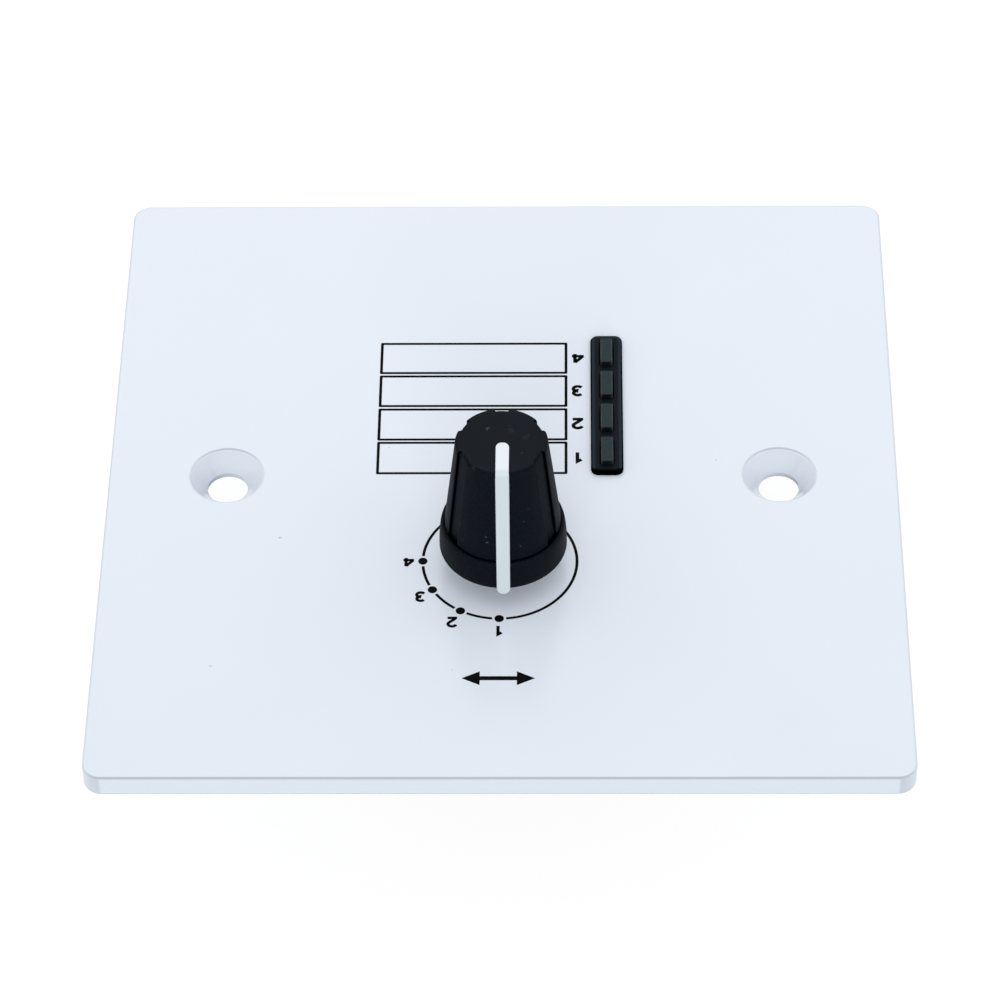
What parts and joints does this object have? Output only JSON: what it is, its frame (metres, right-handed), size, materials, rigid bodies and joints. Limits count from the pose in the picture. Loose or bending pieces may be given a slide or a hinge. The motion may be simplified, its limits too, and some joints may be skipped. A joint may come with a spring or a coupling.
{
  "type": "audio zone selector",
  "caption": "Square white wall plate with a fluted black selector knob over a printed dial, a strip of indicator lenses beside label boxes, and a control board with network jacks behind.",
  "frame": {"origin": "midway between the two wall screw holes, on the plate's rear face", "axes": "+Z out of the plate's front face, +Y towards the plate's top edge as it hangs on a wall, +X to the right as seen from the front"},
  "size_m": [0.086, 0.086, 0.0482],
  "materials": {
    "white_coat": "satin powder coat",
    "plated_steel": "bright zinc plate",
    "solder_mask": "glossy green mask over laminate",
    "soft_black": "matt soft-touch moulding",
    "grey_plastic": "moulded",
    "white_plastic": "moulded",
    "die_cast": "die cast",
    "black_plastic": "moulded, satin",
    "brown_laminate": "phenolic laminate",
    "gilt_contact": "gold flash",
    "smoked_lens": "smoked clear moulding",
    "red_plastic": "moulded",
    "chip_epoxy": "moulded epoxy",
    "can_aluminium": "drawn can",
    "tan_ceramic": "ceramic"
  },
  "bodies": {
    "wall_plate": {"face_plate": "white_coat", "standoffs": "plated_steel", "circuit_board": "solder_mask", "board_screws": "plated_steel", "screw_washers": "plated_steel", "switch_frame": "die_cast", "switch_housing": "black_plastic", "stop_washer": "plated_steel", "detent_ring": "plated_steel", "contact_base": "brown_laminate", "switch_contacts": "gilt_contact", "indicator_bezel": "black_plastic", "light_pipe_1": "smoked_lens", "light_pipe_2": "smoked_lens", "light_pipe_3": "smoked_lens", "light_pipe_4": "smoked_lens", "indicator_leds": "white_plastic", "jack_1": "black_plastic", "jack_2": "black_plastic", "jack_contacts_1": "gilt_contact", "jack_contacts_2": "gilt_contact", "dip_body": "red_plastic", "controller_chip": "chip_epoxy", "regulator": "chip_epoxy", "can_capacitors": "can_aluminium", "crystal": "plated_steel", "chip_resistors": "chip_epoxy", "chip_capacitors": "tan_ceramic", "pin_header": "black_plastic", "header_pins": "gilt_contact"},
    "selector": {"knob_body": "soft_black", "knob_core": "grey_plastic", "knob_pointer": "white_plastic", "switch_shaft": "die_cast", "retaining_ring": "plated_steel", "switch_rotor": "white_plastic", "detent_ball": "plated_steel", "detent_spring": "plated_steel", "wiper_contact": "gilt_contact"},
    "address_1": {"dip_slider_1": "white_plastic"},
    "address_2": {"dip_slider_2": "white_plastic"},
    "address_3": {"dip_slider_3": "white_plastic"},
    "address_4": {"dip_slider_4": "white_plastic"}
  },
  "joints": [
    {"name": "knob_turn", "type": "hinge", "parent": "wall_plate", "child": "selector", "pos_m": [-0.0002, 0.0127, 0.0056], "axis": [0, 0, -1], "range_deg": [0, 90]},
    {"name": "address_slide_1", "type": "slide", "parent": "wall_plate", "child": "address_1", "axis": [0, 1, 0], "range_m": [0, 0.0012]},
    {"name": "address_slide_2", "type": "slide", "parent": "wall_plate", "child": "address_2", "axis": [0, 1, 0], "range_m": [0, 0.0012]},
    {"name": "address_slide_3", "type": "slide", "parent": "wall_plate", "child": "address_3", "axis": [0, 1, 0], "range_m": [0, 0.0012]},
    {"name": "address_slide_4", "type": "slide", "parent": "wall_plate", "child": "address_4", "axis": [0, 1, 0], "range_m": [0, 0.0012]}
  ]
}
